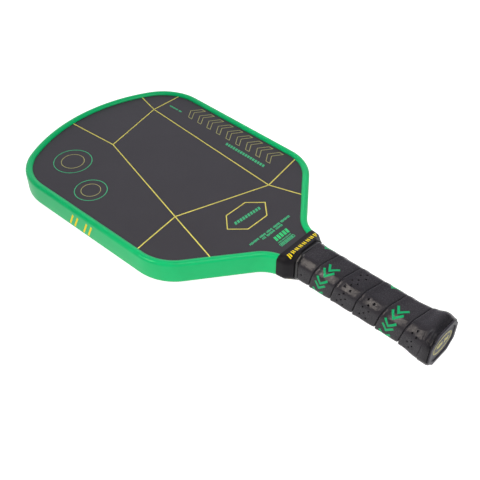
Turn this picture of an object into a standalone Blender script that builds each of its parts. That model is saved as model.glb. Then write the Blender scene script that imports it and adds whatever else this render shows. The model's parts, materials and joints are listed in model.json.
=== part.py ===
"""Pickleball paddle: a thermoformed sandwich blade with a wrapped octagonal handle.

Frame: metres, +Y from the butt of the handle to the top of the head, +Z out of the
front face, +X to the right of someone looking at the front face with the head up.
The origin is the centre of the badge's outer face at the butt end.
"""

import math

import bmesh
import bpy
from mathutils import Vector

GAP = 0.0003  # clearance between two pieces that touch
TOUCHING = 1e-7  # points closer than this are one point

# Head outline, measured on the outside of the edge guard. Stations along the
# handle and the head are distances from the rim of the butt cap.
LENGTH = 0.4064
WIDTH = 0.1905
WIDEST_STATION = 0.2864
SIDE_TAPER = math.radians(1.15)
TOP_RADIUS = 0.1458
TOP_CORNER_RADIUS = 0.0487
SHOULDER_STATION = 0.1979
SHOULDER_ANGLE = math.radians(37.2)
SHOULDER_RADIUS = 0.0431
THROAT_RADIUS = 0.0270
THROAT_WIDTH = 0.0420
RIM_Y = -0.0008  # the rim stands this far beyond the badge

# Sandwich, as half thicknesses from the middle plane.
FACE_Z = 0.0080
SKIN_THICKNESS = 0.0006
SCRIM_THICKNESS = 0.0004
SKIN_INNER_Z = FACE_Z - SKIN_THICKNESS
SCRIM_OUTER_Z = SKIN_INNER_Z - GAP
SCRIM_INNER_Z = SCRIM_OUTER_Z - SCRIM_THICKNESS
CORE_Z = SCRIM_INNER_Z - GAP
FOAM_Z = SKIN_INNER_Z - GAP
FOAM_WIDTH = 0.0060
CELL_PITCH = 0.0200
CELL_WALL = 0.0016
CELL_START = 0.0080  # first row of cells from the end of the core

# Edge guard section: depth is measured inward from the outline.
GUARD_HALF_HEIGHT = 0.0104
GUARD_CORNER = 0.0040
GUARD_WALL = 0.0018
GUARD_LIP_DEPTH = 0.0063
GUARD_LIP_EDGE_Z = 0.0092
GUARD_LIP_CHAMFER = 0.0006
GUARD_END_STATION = 0.1295
BLANK_INSET = GUARD_WALL + GAP
FOAM_INSET = BLANK_INSET + FOAM_WIDTH

# Tongue of the blade inside the handle.
TONGUE_HALF_WIDTH = 0.0107
TONGUE_TOP_STATION = 0.1270
TONGUE_END_STATION = 0.0043
CORE_END_STATION = 0.1410

# Handle section: an octagon given by the distances of its flats from the axis.
# Every layer is this octagon pushed outward by its own offset.
HANDLE_HALF_WIDTH = 0.0130
HANDLE_HALF_HEIGHT = 0.01125
HANDLE_BEVEL_REACH = 0.01373
CORNER_ROUND = 0.0022
HANDLE_TOP_STATION = 0.1262
STRIP_THICKNESS = 0.0004
WRAP_THICKNESS = 0.0017
WRAP_TOP_STATION = 0.1215
WRAP_STEP_RUN = 0.0015  # length over which the wrap climbs onto the cap's sleeve
STRIP_INNER = GAP
STRIP_OUTER = STRIP_INNER + STRIP_THICKNESS
WRAP_INNER = STRIP_OUTER + GAP
WRAP_OUTER = WRAP_INNER + WRAP_THICKNESS
TAPE_INNER = WRAP_OUTER + GAP
TAPE_THICKNESS = 0.0003
TAPE_STATIONS = (0.1200, 0.1250)
# Outer surface of the grip over the butt flare as (station, offset).
WRAP_OFFSETS = [
    (WRAP_TOP_STATION, WRAP_OUTER),
    (0.0320, WRAP_OUTER),
    (0.0240, WRAP_OUTER + 0.0003),
    (0.0180, WRAP_OUTER + 0.0009),
    (0.0120, WRAP_OUTER + 0.0017),
    (0.0070, WRAP_OUTER + 0.0021),
    (0.0035, WRAP_OUTER + 0.0021),
    (0.0018, WRAP_OUTER + 0.0016),
]

# Butt cap.
CAP_TOP_STATION = 0.0260
CAP_FLOOR_STATION = 0.0040
CAP_FLANGE = 0.0014
CAP_RIM_OFFSET = 0.0045
CAP_RIM_EDGE = 0.0004
CAP_BEVEL_TRIM = 0.0011
# Outer surface of the cap's sleeve as (station, offset).
CAP_OFFSETS = [(CAP_TOP_STATION, 0.0008), (0.0180, 0.0015), (0.0100, 0.0026), (CAP_FLANGE, 0.0028)]
RECESS_OFFSET = 0.0014
RECESS_STATION = 0.0018
RECESS_DRAFT = 0.0002
BADGE_HALF_WIDTH = 0.0131
BADGE_HALF_HEIGHT = 0.0092
BADGE_THICKNESS = 0.0007
BADGE_EDGE = 0.0002

# Staples: wire square section, crown and two legs.
STAPLE_WIRE = 0.0007
STAPLE_CROWN = 0.0100
STAPLE_LEG = 0.0018
STAPLE_STATION = 0.0180
STAPLE_OFFSET = 0.0012
WRAP_STAPLE_STATION = 0.0100
WRAP_STAPLE_OFFSET = 0.0023

# Collar rings as (half width, half height, chamfer, corner rounding, station).
COLLAR_OUTER = [
    (0.0234, 0.0113, 0.0030, 0.0026, 0.1372),
    (0.0239, 0.0119, 0.0034, 0.0028, 0.1366),
    (0.0237, 0.0126, 0.0042, 0.0028, 0.1325),
    (0.0212, 0.0148, 0.0060, 0.0028, 0.1278),
    (0.0184, 0.0162, 0.0066, 0.0026, 0.1242),
    (0.0179, 0.0159, 0.0066, 0.0024, 0.1232),
]
COLLAR_INNER = [
    (0.0230, 0.0108, 0.0024, 0.0020, 0.1372),
    (0.0221, 0.0108, 0.0024, 0.0020, 0.1340),
    (0.0215, 0.0108, 0.0024, 0.0020, 0.1292),
    (0.0170, 0.0149, 0.0062, 0.0022, 0.1256),
    (0.0168, 0.0149, 0.0066, 0.0022, 0.1232),
]

# Base colour, roughness and metallic value of each material.
MATERIALS = {
    "raw_carbon": ((0.060, 0.055, 0.062), 0.75, 0.0),
    "guard_green": ((0.0, 0.48, 0.17), 0.45, 0.0),
    "polypropylene": ((0.72, 0.72, 0.70), 0.60, 0.0),
    "polyester_veil": ((0.60, 0.60, 0.58), 0.90, 0.0),
    "rigid_foam": ((0.78, 0.72, 0.52), 0.90, 0.0),
    "black_rubber": ((0.012, 0.012, 0.014), 0.55, 0.0),
    "grip_black": ((0.045, 0.042, 0.047), 0.50, 0.0),
    "tape_black": ((0.012, 0.012, 0.013), 0.30, 0.0),
    "adhesive_film": ((0.70, 0.66, 0.52), 0.35, 0.0),
    "cap_plastic": ((0.13, 0.125, 0.15), 0.45, 0.0),
    "badge_film": ((0.16, 0.155, 0.18), 0.40, 0.0),
    "steel_wire": ((0.62, 0.62, 0.64), 0.30, 1.0),
}


def at(station):
    """Y of a station measured from the rim of the butt cap."""
    return RIM_Y + station


def clear_scene():
    for old in list(bpy.data.objects):
        bpy.data.objects.remove(old, do_unlink=True)


def material(name):
    found = bpy.data.materials.get(name)
    if found:
        return found
    colour, roughness, metallic = MATERIALS[name]
    made = bpy.data.materials.new(name)
    made.use_nodes = True
    shader = made.node_tree.nodes["Principled BSDF"]
    shader.inputs["Base Color"].default_value = (*colour, 1.0)
    shader.inputs["Roughness"].default_value = roughness
    shader.inputs["Metallic"].default_value = metallic
    made.diffuse_color = (*colour, 1.0)
    return made


def finish_object(name, bm, material_name, smooth_angle=math.radians(35)):
    """Turn a bmesh into a closed, outward-facing object."""
    bmesh.ops.recalc_face_normals(bm, faces=bm.faces)
    mesh = bpy.data.meshes.new(name)
    bm.to_mesh(mesh)
    bm.free()
    mesh.shade_smooth()
    mesh.set_sharp_from_angle(angle=smooth_angle)
    made = bpy.data.objects.new(name, mesh)
    mesh.materials.append(material(material_name))
    bpy.context.collection.objects.link(made)
    return made


# --------------------------------------------------------------- head outline


def polar(radius, angle):
    return Vector((radius * math.cos(angle), radius * math.sin(angle)))


def meet_lines(normal_a, reach_a, normal_b, reach_b):
    """Point whose distance along each normal is the given reach."""
    det = normal_a.x * normal_b.y - normal_a.y * normal_b.x
    x = (reach_a * normal_b.y - normal_a.y * reach_b) / det
    y = (normal_a.x * reach_b - reach_a * normal_b.x) / det
    return Vector((x, y))


def head_arcs():
    """Arcs of the right half outline as (centre, radius, start, end, outward sign, steps)."""
    side_normal = polar(1.0, -SIDE_TAPER)
    side_reach = side_normal.dot(Vector((WIDTH / 2, at(WIDEST_STATION))))
    shoulder_normal = polar(1.0, SHOULDER_ANGLE - math.pi / 2)
    shoulder_reach = shoulder_normal.dot(Vector((WIDTH / 2, at(SHOULDER_STATION))))

    top = Vector((0.0, at(LENGTH) - TOP_RADIUS))
    # The top corner is tangent inside both the top arc and the side.
    foot = side_normal * (side_reach - TOP_CORNER_RADIUS - side_normal.dot(top)) + top
    spread = TOP_RADIUS - TOP_CORNER_RADIUS
    climb = math.sqrt(spread ** 2 - (foot - top).length_squared)
    along_side = Vector((-side_normal.y, side_normal.x))
    corner = foot + along_side * climb
    corner_angle = math.atan2(corner.y - top.y, corner.x - top.x)

    shoulder = meet_lines(
        side_normal,
        side_reach - SHOULDER_RADIUS,
        shoulder_normal,
        shoulder_reach - SHOULDER_RADIUS,
    )
    throat_x = THROAT_WIDTH / 2 + THROAT_RADIUS
    throat_reach = shoulder_reach + THROAT_RADIUS
    throat = Vector((throat_x, (throat_reach - shoulder_normal.x * throat_x) / shoulder_normal.y))

    shoulder_end = SHOULDER_ANGLE - math.pi / 2
    return [
        (top, TOP_RADIUS, math.pi / 2, corner_angle, 1, 7),
        (corner, TOP_CORNER_RADIUS, corner_angle, -SIDE_TAPER, 1, 8),
        (shoulder, SHOULDER_RADIUS, -SIDE_TAPER, shoulder_end, 1, 6),
        (throat, THROAT_RADIUS, shoulder_end + math.pi, math.pi, -1, 5),
    ]


def half_outline(inset, end_station):
    """Right half of the head outline moved inward by inset, top centre to a cut in the throat."""
    points = []
    for centre, radius, start, end, outward, steps in head_arcs():
        reach = radius - outward * inset
        if outward < 0:
            end = math.pi - math.asin((at(end_station) - centre.y) / reach)
        for step in range(steps + 1):
            point = centre + polar(reach, start + (end - start) * step / steps)
            if not points or (point - points[-1]).length > TOUCHING:
                points.append(point)
    return points


def mirrored_loop(half):
    """Close a right half, given top to bottom, with its mirror image."""
    left = [Vector((-p.x, p.y)) for p in half if p.x > TOUCHING]
    return [p.copy() for p in half] + left[::-1]


def blank_loop():
    """Outline of the blade's skins: head, throat, then the tongue in the handle."""
    half = half_outline(BLANK_INSET, GUARD_END_STATION)
    half.append(Vector((TONGUE_HALF_WIDTH, at(TONGUE_TOP_STATION))))
    half.append(Vector((TONGUE_HALF_WIDTH, at(TONGUE_END_STATION))))
    return mirrored_loop(half)


def core_loop(inset):
    """Outline of the core: the head only, cut square in the throat."""
    return mirrored_loop(half_outline(inset, CORE_END_STATION))


def plate(name, loop, low, high, material_name):
    """Flat plate: a closed loop of XY points between two heights."""
    bm = bmesh.new()
    face = bm.faces.new([bm.verts.new((p.x, p.y, low)) for p in loop])
    lifted = bmesh.ops.extrude_face_region(bm, geom=[face])["geom"]
    verts = [v for v in lifted if isinstance(v, bmesh.types.BMVert)]
    bmesh.ops.translate(bm, verts=verts, vec=(0.0, 0.0, high - low))
    return finish_object(name, bm, material_name)


def sweep_rings(name, rings, material_name, closed):
    """Skin a list of closed rings; the last joins the first, or both ends are capped."""
    bm = bmesh.new()
    loops = [[bm.verts.new(p) for p in ring] for ring in rings]
    count = len(loops[0])
    pairs = list(zip(loops, loops[1:]))
    if closed:
        pairs.append((loops[-1], loops[0]))
    for first, second in pairs:
        for i in range(count):
            j = (i + 1) % count
            bm.faces.new((first[i], first[j], second[j], second[i]))
    if not closed:
        bm.faces.new(loops[0])
        bm.faces.new(loops[-1])
    return finish_object(name, bm, material_name)


# ------------------------------------------------------------ blade and guard


def guard_section():
    """Closed C section of the edge guard as (depth from the outline, z)."""
    bend_z = GUARD_HALF_HEIGHT - GUARD_CORNER
    lip_z = FACE_Z + GAP
    upper = [(GUARD_LIP_DEPTH, lip_z), (GUARD_LIP_DEPTH, GUARD_LIP_EDGE_Z)]
    upper.append((GUARD_LIP_DEPTH - GUARD_LIP_CHAMFER, GUARD_LIP_EDGE_Z + GUARD_LIP_CHAMFER))
    for step in range(4):
        angle = math.radians(90 + 30 * step)
        depth = GUARD_CORNER + GUARD_CORNER * math.cos(angle)
        upper.append((depth, bend_z + GUARD_CORNER * math.sin(angle)))
    lower = [(depth, -z) for depth, z in reversed(upper)]
    return upper + lower + [(GUARD_WALL, -lip_z), (GUARD_WALL, lip_z)]


def swept_band(name, section, end_station, material_name):
    """Sweep a (depth, z) section round the head from throat to throat."""
    halves = []
    for depth, z in section:
        half = half_outline(depth, end_station)
        right = [Vector((p.x, p.y, z)) for p in half]
        left = [Vector((-p.x, p.y, z)) for p in half if p.x > TOUCHING]
        halves.append(left[::-1] + right)
    steps = len(halves[0])
    rings = [[path[i] for path in halves] for i in range(steps)]
    return sweep_rings(name, rings, material_name, closed=False)


def build_blade():
    blank = blank_loop()
    plate("face_sheet_front", blank, SKIN_INNER_Z, FACE_Z, "raw_carbon")
    plate("face_sheet_back", blank, -FACE_Z, -SKIN_INNER_Z, "raw_carbon")

    sheet = core_loop(FOAM_INSET + GAP)
    plate("core_scrim_front", sheet, SCRIM_INNER_Z, SCRIM_OUTER_Z, "polyester_veil")
    plate("core_scrim_back", sheet, -SCRIM_OUTER_Z, -SCRIM_INNER_Z, "polyester_veil")
    core = plate("honeycomb_core", sheet, -CORE_Z, CORE_Z, "polypropylene")
    cut_cells(core)

    foam = [(BLANK_INSET, FOAM_Z), (BLANK_INSET, -FOAM_Z), (FOAM_INSET, -FOAM_Z), (FOAM_INSET, FOAM_Z)]
    swept_band("rim_foam", foam, CORE_END_STATION, "rigid_foam")
    swept_band("edge_guard", guard_section(), GUARD_END_STATION, "guard_green")


def inside(point, loop):
    """Even-odd test of an XY point against a closed loop."""
    hit = False
    for a, b in zip(loop, loop[1:] + loop[:1]):
        if (a.y > point.y) != (b.y > point.y):
            cross_x = a.x + (point.y - a.y) / (b.y - a.y) * (b.x - a.x)
            hit ^= point.x < cross_x
    return hit


def cut_cells(core):
    """Cut the open hexagonal cells that lie whole within the core."""
    cell_radius = (CELL_PITCH - CELL_WALL) / math.sqrt(3)
    margin = core_loop(FOAM_INSET + GAP + CELL_WALL)
    hexagon = [polar(cell_radius, math.radians(60 * k + 30)) for k in range(6)]
    row_step = CELL_PITCH * math.sqrt(3) / 2
    bm = bmesh.new()
    rows = int(LENGTH / row_step)
    columns = int(WIDTH / CELL_PITCH)
    for row in range(rows):
        for column in range(-columns, columns + 1):
            x = (column + 0.5 * (row % 2)) * CELL_PITCH
            centre = Vector((x, at(CORE_END_STATION) + CELL_START + row * row_step))
            corners = [centre + p for p in hexagon]
            if not all(inside(p, margin) for p in corners):
                continue
            face = bm.faces.new([bm.verts.new((p.x, p.y, -2 * CORE_Z)) for p in corners])
            lifted = bmesh.ops.extrude_face_region(bm, geom=[face])["geom"]
            verts = [v for v in lifted if isinstance(v, bmesh.types.BMVert)]
            bmesh.ops.translate(bm, verts=verts, vec=(0.0, 0.0, 4 * CORE_Z))
    cutter = finish_object("cells_cutter", bm, "polypropylene")
    subtract(core, cutter)


def subtract(target, cutter):
    """Exact boolean difference with a hidden cutter."""
    cutter.hide_render = True
    cutter.display_type = "WIRE"
    cut = target.modifiers.new("cut_" + cutter.name, "BOOLEAN")
    cut.operation = "DIFFERENCE"
    cut.solver = "EXACT"
    cut.object = cutter


# --------------------------------------------------------------------- handle


def octagon(reaches, rounding, corner_points, station):
    """Octagon across the handle from its eight flats' reaches, with rounded corners."""
    ring = []
    for side in range(8):
        start = math.radians(45 * side)
        end = start + math.radians(45)
        centre = meet_lines(
            polar(1.0, start),
            reaches[side] - rounding,
            polar(1.0, end),
            reaches[(side + 1) % 8] - rounding,
        )
        for step in range(corner_points):
            p = centre + polar(rounding, start + (end - start) * step / (corner_points - 1))
            ring.append(Vector((p.x, at(station), p.y)))
    return ring


def handle_ring(offset, station, corner_points=2, bevel_trim=0.0):
    """Handle section pushed out by offset, its bevels held back by a trim, at a station."""
    bevel = HANDLE_BEVEL_REACH + offset - bevel_trim
    reaches = [HANDLE_HALF_WIDTH + offset, bevel, HANDLE_HALF_HEIGHT + offset, bevel] * 2
    return octagon(reaches, CORNER_ROUND, corner_points, station)


def sleeve(name, outer, inner, material_name):
    """Tube along the handle; each wall is a list of rings from the head end down."""
    return sweep_rings(name, outer + inner[::-1], material_name, closed=True)


def half_pallet(name, side):
    """Half of the handle shell: an octagon's half, channelled for the blade's tongue."""
    split_z = GAP / 2
    channel_x = TONGUE_HALF_WIDTH + GAP
    channel_z = FACE_Z + GAP
    shell = [(p.x, p.z) for p in handle_ring(0.0, 0.0) if p.z > 0]
    profile = [(HANDLE_HALF_WIDTH, split_z)] + shell + [(-HANDLE_HALF_WIDTH, split_z)]
    profile += [(-channel_x, split_z), (-channel_x, channel_z)]
    profile += [(channel_x, channel_z), (channel_x, split_z)]
    rings = []
    for station in (TONGUE_END_STATION, HANDLE_TOP_STATION):
        rings.append([Vector((x, at(station), side * z)) for x, z in profile])
    return sweep_rings(name, rings, "rigid_foam", closed=False)


def build_handle():
    core_rings = []
    for station in (TONGUE_END_STATION, CORE_END_STATION - GAP):
        x = TONGUE_HALF_WIDTH
        z = FOAM_Z
        corners = [(-x, -z), (x, -z), (x, z), (-x, z)]
        core_rings.append([Vector((cx, at(station), cz)) for cx, cz in corners])
    sweep_rings("handle_core", core_rings, "rigid_foam", closed=False)

    front = half_pallet("handle_pallet_front", 1)
    back = half_pallet("handle_pallet_back", -1)

    strip_ends = (WRAP_TOP_STATION, CAP_TOP_STATION + GAP)
    strip_outer = [handle_ring(STRIP_OUTER, s) for s in strip_ends]
    strip_inner = [handle_ring(STRIP_INNER, s) for s in strip_ends]
    sleeve("grip_adhesive_strip", strip_outer, strip_inner, "adhesive_film")

    wrap_outer = [handle_ring(offset, s, 3) for s, offset in WRAP_OFFSETS]
    wrap_inner = [handle_ring(WRAP_INNER, WRAP_TOP_STATION, 3)]
    wrap_inner.append(handle_ring(WRAP_INNER, CAP_TOP_STATION + WRAP_STEP_RUN, 3))
    for station, offset in CAP_OFFSETS[:-1]:
        wrap_inner.append(handle_ring(offset + 2 * GAP, station, 3))
    wrap_inner.append(handle_ring(CAP_OFFSETS[-1][1] + 2 * GAP, CAP_FLANGE + GAP, 3))
    sleeve("grip_wrap", wrap_outer, wrap_inner, "grip_black")

    tape_outer = [handle_ring(TAPE_INNER + TAPE_THICKNESS, s) for s in reversed(TAPE_STATIONS)]
    tape_inner = [handle_ring(TAPE_INNER, s) for s in reversed(TAPE_STATIONS)]
    sleeve("finishing_tape", tape_outer, tape_inner, "tape_black")

    cap = build_cap()
    fit_staples(cap, front, back)
    build_badge()
    build_collar()


def build_cap():
    """Cup that closes the handle: flanged rim, recessed end wall and a flaring sleeve."""
    rim = CAP_RIM_OFFSET
    rings = [handle_ring(offset, s) for s, offset in CAP_OFFSETS]
    rings.append(handle_ring(rim, CAP_FLANGE, bevel_trim=CAP_BEVEL_TRIM))
    rings.append(handle_ring(rim, CAP_RIM_EDGE, bevel_trim=CAP_BEVEL_TRIM))
    rings.append(handle_ring(rim - CAP_RIM_EDGE, 0.0, bevel_trim=CAP_BEVEL_TRIM))
    rings.append(handle_ring(RECESS_OFFSET, 0.0))
    rings.append(handle_ring(RECESS_OFFSET - RECESS_DRAFT, RECESS_STATION))
    inner = [handle_ring(GAP, CAP_TOP_STATION), handle_ring(GAP, CAP_FLOOR_STATION)]

    bm = bmesh.new()
    loops = [[bm.verts.new(p) for p in ring] for ring in inner[::-1] + rings]
    count = len(loops[0])
    for first, second in zip(loops, loops[1:]):
        for i in range(count):
            j = (i + 1) % count
            bm.faces.new((first[i], first[j], second[j], second[i]))
    bm.faces.new(loops[0])
    bm.faces.new(loops[-1])
    return finish_object("butt_cap", bm, "cap_plastic")


def build_badge():
    """Oval disc lying in the butt cap's recess, its face at y = 0."""
    steps = 28
    rings = []
    for y, shrink in ((BADGE_THICKNESS, 0.0), (BADGE_EDGE, 0.0), (0.0, BADGE_EDGE)):
        ring = []
        for step in range(steps):
            angle = 2 * math.pi * step / steps
            x = (BADGE_HALF_WIDTH - shrink) * math.cos(angle)
            z = (BADGE_HALF_HEIGHT - shrink) * math.sin(angle)
            ring.append(Vector((x, y, z)))
        rings.append(ring)
    sweep_rings("butt_badge", rings, "badge_film", closed=False)


# -------------------------------------------------------------------- staples


def staple_frame(facet, station, offset):
    """Map staple coordinates onto a handle flat: facet 0 right, 1 front, 2 left, 3 back."""
    reach = (HANDLE_HALF_WIDTH, HANDLE_HALF_HEIGHT)[facet % 2] + offset
    turn = math.radians(90 * facet)
    out = Vector((math.cos(turn), 0.0, math.sin(turn)))
    across = Vector((math.sin(turn), 0.0, -math.cos(turn)))
    base = Vector((0.0, at(station), 0.0)) + out * reach
    along = Vector((0.0, 1.0, 0.0))
    return lambda x, y, z: base + across * x + along * y + out * z


def staple_solid(name, place, grow=0.0):
    """One closed staple: a U-shaped outline of wire given its thickness."""
    half = STAPLE_CROWN / 2 + grow
    wire = STAPLE_WIRE + 2 * grow
    top = grow
    foot = -STAPLE_WIRE - STAPLE_LEG - grow
    inner_x = half - wire
    outline = [
        (-half, top),
        (half, top),
        (half, foot),
        (inner_x, foot),
        (inner_x, top - wire),
        (-inner_x, top - wire),
        (-inner_x, foot),
        (-half, foot),
    ]
    rings = []
    for y in (-wire / 2, wire / 2):
        rings.append([place(x, y, z) for x, z in outline])
    return sweep_rings(name, rings, "steel_wire", closed=False)


def fit_staples(cap, front, back):
    """Four staples hold the cap on the pallets and one holds the start of the wrap."""
    right, top, left, bottom = range(4)
    fittings = [
        ("cap_staple_right", right, STAPLE_STATION, STAPLE_OFFSET, (cap, front, back)),
        ("cap_staple_front", top, STAPLE_STATION, STAPLE_OFFSET, (cap, front)),
        ("cap_staple_left", left, STAPLE_STATION, STAPLE_OFFSET, (cap, front, back)),
        ("cap_staple_back", bottom, STAPLE_STATION, STAPLE_OFFSET, (cap, back)),
        ("wrap_start_staple", left, WRAP_STAPLE_STATION, WRAP_STAPLE_OFFSET, (cap, front, back)),
    ]
    for name, facet, station, offset, pieces in fittings:
        place = staple_frame(facet, station, offset)
        staple_solid(name, place)
        cutter = staple_solid(name + "_cutter", place, GAP)
        for piece in pieces:
            subtract(piece, cutter)


# --------------------------------------------------------------------- collar


def collar_section(half_width, half_height, chamfer, rounding, station):
    """Softened octagonal ring of the collar with its own width, height and chamfer."""
    bevel = (half_width + half_height - chamfer) / math.sqrt(2)
    return octagon([half_width, bevel, half_height, bevel] * 2, rounding, 3, station)


def build_collar():
    """Rubber ring that hides the throat joint: wide over the guard, snug on the grip."""
    outer = [collar_section(*sizes) for sizes in COLLAR_OUTER]
    inner = [collar_section(*sizes) for sizes in COLLAR_INNER]
    sleeve("collar_ring", outer, inner, "black_rubber")


def main():
    clear_scene()
    build_blade()
    build_handle()


main()
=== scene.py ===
"""Looks of the pickleball paddle: fine surfaces, printed marks, wound grip, light and camera."""

import json
import math

import bmesh
import bpy
import numpy as np
from mathutils import Matrix, Vector

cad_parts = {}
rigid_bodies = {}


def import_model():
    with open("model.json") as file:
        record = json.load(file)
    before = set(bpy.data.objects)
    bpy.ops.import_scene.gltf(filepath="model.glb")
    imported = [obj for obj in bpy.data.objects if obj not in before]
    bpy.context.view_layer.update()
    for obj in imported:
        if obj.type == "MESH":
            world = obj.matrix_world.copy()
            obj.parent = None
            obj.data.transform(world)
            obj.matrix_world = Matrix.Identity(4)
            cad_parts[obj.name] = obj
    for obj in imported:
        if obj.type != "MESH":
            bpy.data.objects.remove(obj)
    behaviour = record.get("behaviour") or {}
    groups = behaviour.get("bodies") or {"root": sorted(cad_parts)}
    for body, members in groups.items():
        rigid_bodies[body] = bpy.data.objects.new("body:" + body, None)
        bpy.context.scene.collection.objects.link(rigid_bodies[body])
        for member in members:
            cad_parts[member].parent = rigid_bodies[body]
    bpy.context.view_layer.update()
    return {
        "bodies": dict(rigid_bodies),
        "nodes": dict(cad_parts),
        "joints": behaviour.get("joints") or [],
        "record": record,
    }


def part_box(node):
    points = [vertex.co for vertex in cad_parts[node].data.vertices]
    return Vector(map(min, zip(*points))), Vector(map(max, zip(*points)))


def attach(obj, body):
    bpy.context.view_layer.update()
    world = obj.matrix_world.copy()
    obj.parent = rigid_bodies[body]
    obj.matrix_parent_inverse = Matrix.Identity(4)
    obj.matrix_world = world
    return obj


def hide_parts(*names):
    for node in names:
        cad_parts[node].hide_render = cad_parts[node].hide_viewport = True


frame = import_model()
BODY = "root"
MM = 0.001

# ------------------------------------------------------------------ dimensions
# Places along the paddle are distances from the rim of the butt cap.
CAP_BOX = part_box("butt_cap")
GUARD_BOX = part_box("edge_guard")
FACE_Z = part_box("face_sheet_front")[1][2]
RIM_Y = CAP_BOX[0][1]
LENGTH = GUARD_BOX[1][1] - RIM_Y
GUARD_TOP = GUARD_BOX[1][2]

SIDE_TAPER = math.radians(1.15)
WIDTH = 190.5 * MM
WIDEST_STATION = 286.4 * MM
TOP_RADIUS = 145.8 * MM
TOP_CORNER_RADIUS = 48.7 * MM
SHOULDER_STATION = 197.9 * MM
SHOULDER_ANGLE = math.radians(37.2)
SHOULDER_RADIUS = 43.1 * MM
THROAT_RADIUS = 27.0 * MM
THROAT_WIDTH = 42.0 * MM


def at(station):
    """Y of a station measured from the rim of the butt cap."""
    return RIM_Y + station


def polar(radius, angle):
    return Vector((radius * math.cos(angle), radius * math.sin(angle)))


def meet_lines(normal_a, reach_a, normal_b, reach_b):
    """Point whose distance along each normal is the given reach."""
    det = normal_a.x * normal_b.y - normal_a.y * normal_b.x
    x = (reach_a * normal_b.y - normal_a.y * reach_b) / det
    y = (normal_a.x * reach_b - reach_a * normal_b.x) / det
    return Vector((x, y))


def head_arcs():
    """Arcs of the right half outline: (centre, radius, start, end, outward sign)."""
    side_normal = polar(1.0, -SIDE_TAPER)
    side_reach = side_normal.dot(Vector((WIDTH / 2, at(WIDEST_STATION))))
    shoulder_end = SHOULDER_ANGLE - math.pi / 2
    shoulder_normal = polar(1.0, shoulder_end)
    shoulder_reach = shoulder_normal.dot(Vector((WIDTH / 2, at(SHOULDER_STATION))))
    top = Vector((0.0, at(LENGTH) - TOP_RADIUS))
    foot = top + side_normal * (side_reach - TOP_CORNER_RADIUS - side_normal.dot(top))
    spread = TOP_RADIUS - TOP_CORNER_RADIUS
    climb = math.sqrt(spread ** 2 - (foot - top).length_squared)
    corner = foot + Vector((-side_normal.y, side_normal.x)) * climb
    corner_angle = math.atan2(corner.y - top.y, corner.x - top.x)
    shoulder = meet_lines(
        side_normal,
        side_reach - SHOULDER_RADIUS,
        shoulder_normal,
        shoulder_reach - SHOULDER_RADIUS,
    )
    throat_x = THROAT_WIDTH / 2 + THROAT_RADIUS
    throat_reach = shoulder_reach + THROAT_RADIUS
    throat = Vector((throat_x, (throat_reach - shoulder_normal.x * throat_x) / shoulder_normal.y))
    return [
        (top, TOP_RADIUS, math.pi / 2, corner_angle, 1),
        (corner, TOP_CORNER_RADIUS, corner_angle, -SIDE_TAPER, 1),
        (shoulder, SHOULDER_RADIUS, -SIDE_TAPER, shoulder_end, 1),
        (throat, THROAT_RADIUS, shoulder_end + math.pi, math.pi, -1),
    ]


def outline_path(inset, end_station, spacing=2.0 * MM):
    """Points of the whole outline moved inward, throat to throat, and their directions inward."""
    half = []
    last = None
    for centre, radius, start, end, outward in head_arcs():
        reach = radius - outward * inset
        if outward < 0:
            end = math.pi - math.asin((at(end_station) - centre.y) / reach)
        steps = max(4, round(abs(end - start) * radius / spacing))
        first = centre + polar(reach, start)
        if last is not None:
            gap = (first - last).length
            runs = max(1, round(gap / (2 * spacing)))
            half += [last.lerp(first, k / runs) for k in range(1, runs)]
        for step in range(steps + 1):
            point = centre + polar(reach, start + (end - start) * step / steps)
            if not half or (point - half[-1]).length > 1e-6:
                half.append(point)
        last = half[-1]
    return [Vector((-p.x, p.y)) for p in half[:0:-1]] + half


# ------------------------------------------------------------------- mesh help


def add_piece(name, bm, material, smooth_angle=math.radians(40)):
    """Finish a bmesh as a piece that rides on the paddle."""
    mesh = bpy.data.meshes.new(name)
    bm.to_mesh(mesh)
    bm.free()
    mesh.shade_smooth()
    if smooth_angle:
        mesh.set_sharp_from_angle(angle=smooth_angle)
    mesh.materials.append(material)
    piece = bpy.data.objects.new(name, mesh)
    bpy.context.scene.collection.objects.link(piece)
    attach(piece, BODY)
    return piece


def skin_rings(bm, rings, closed):
    """Skin closed rings of points; the last ring joins the first, or both ends are capped."""
    loops = [[bm.verts.new(p) for p in ring] for ring in rings]
    pairs = list(zip(loops, loops[1:]))
    if closed:
        pairs.append((loops[-1], loops[0]))
    count = len(loops[0])
    for first, second in pairs:
        for i in range(count):
            j = (i + 1) % count
            bm.faces.new((first[i], first[j], second[j], second[i]))
    if not closed:
        bm.faces.new(loops[0])
        bm.faces.new(loops[-1])
    bmesh.ops.recalc_face_normals(bm, faces=bm.faces)
    if bm.calc_volume(signed=True) < 0:
        bmesh.ops.reverse_faces(bm, faces=bm.faces)
    return loops


# ------------------------------------------------------------------- materials


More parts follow.
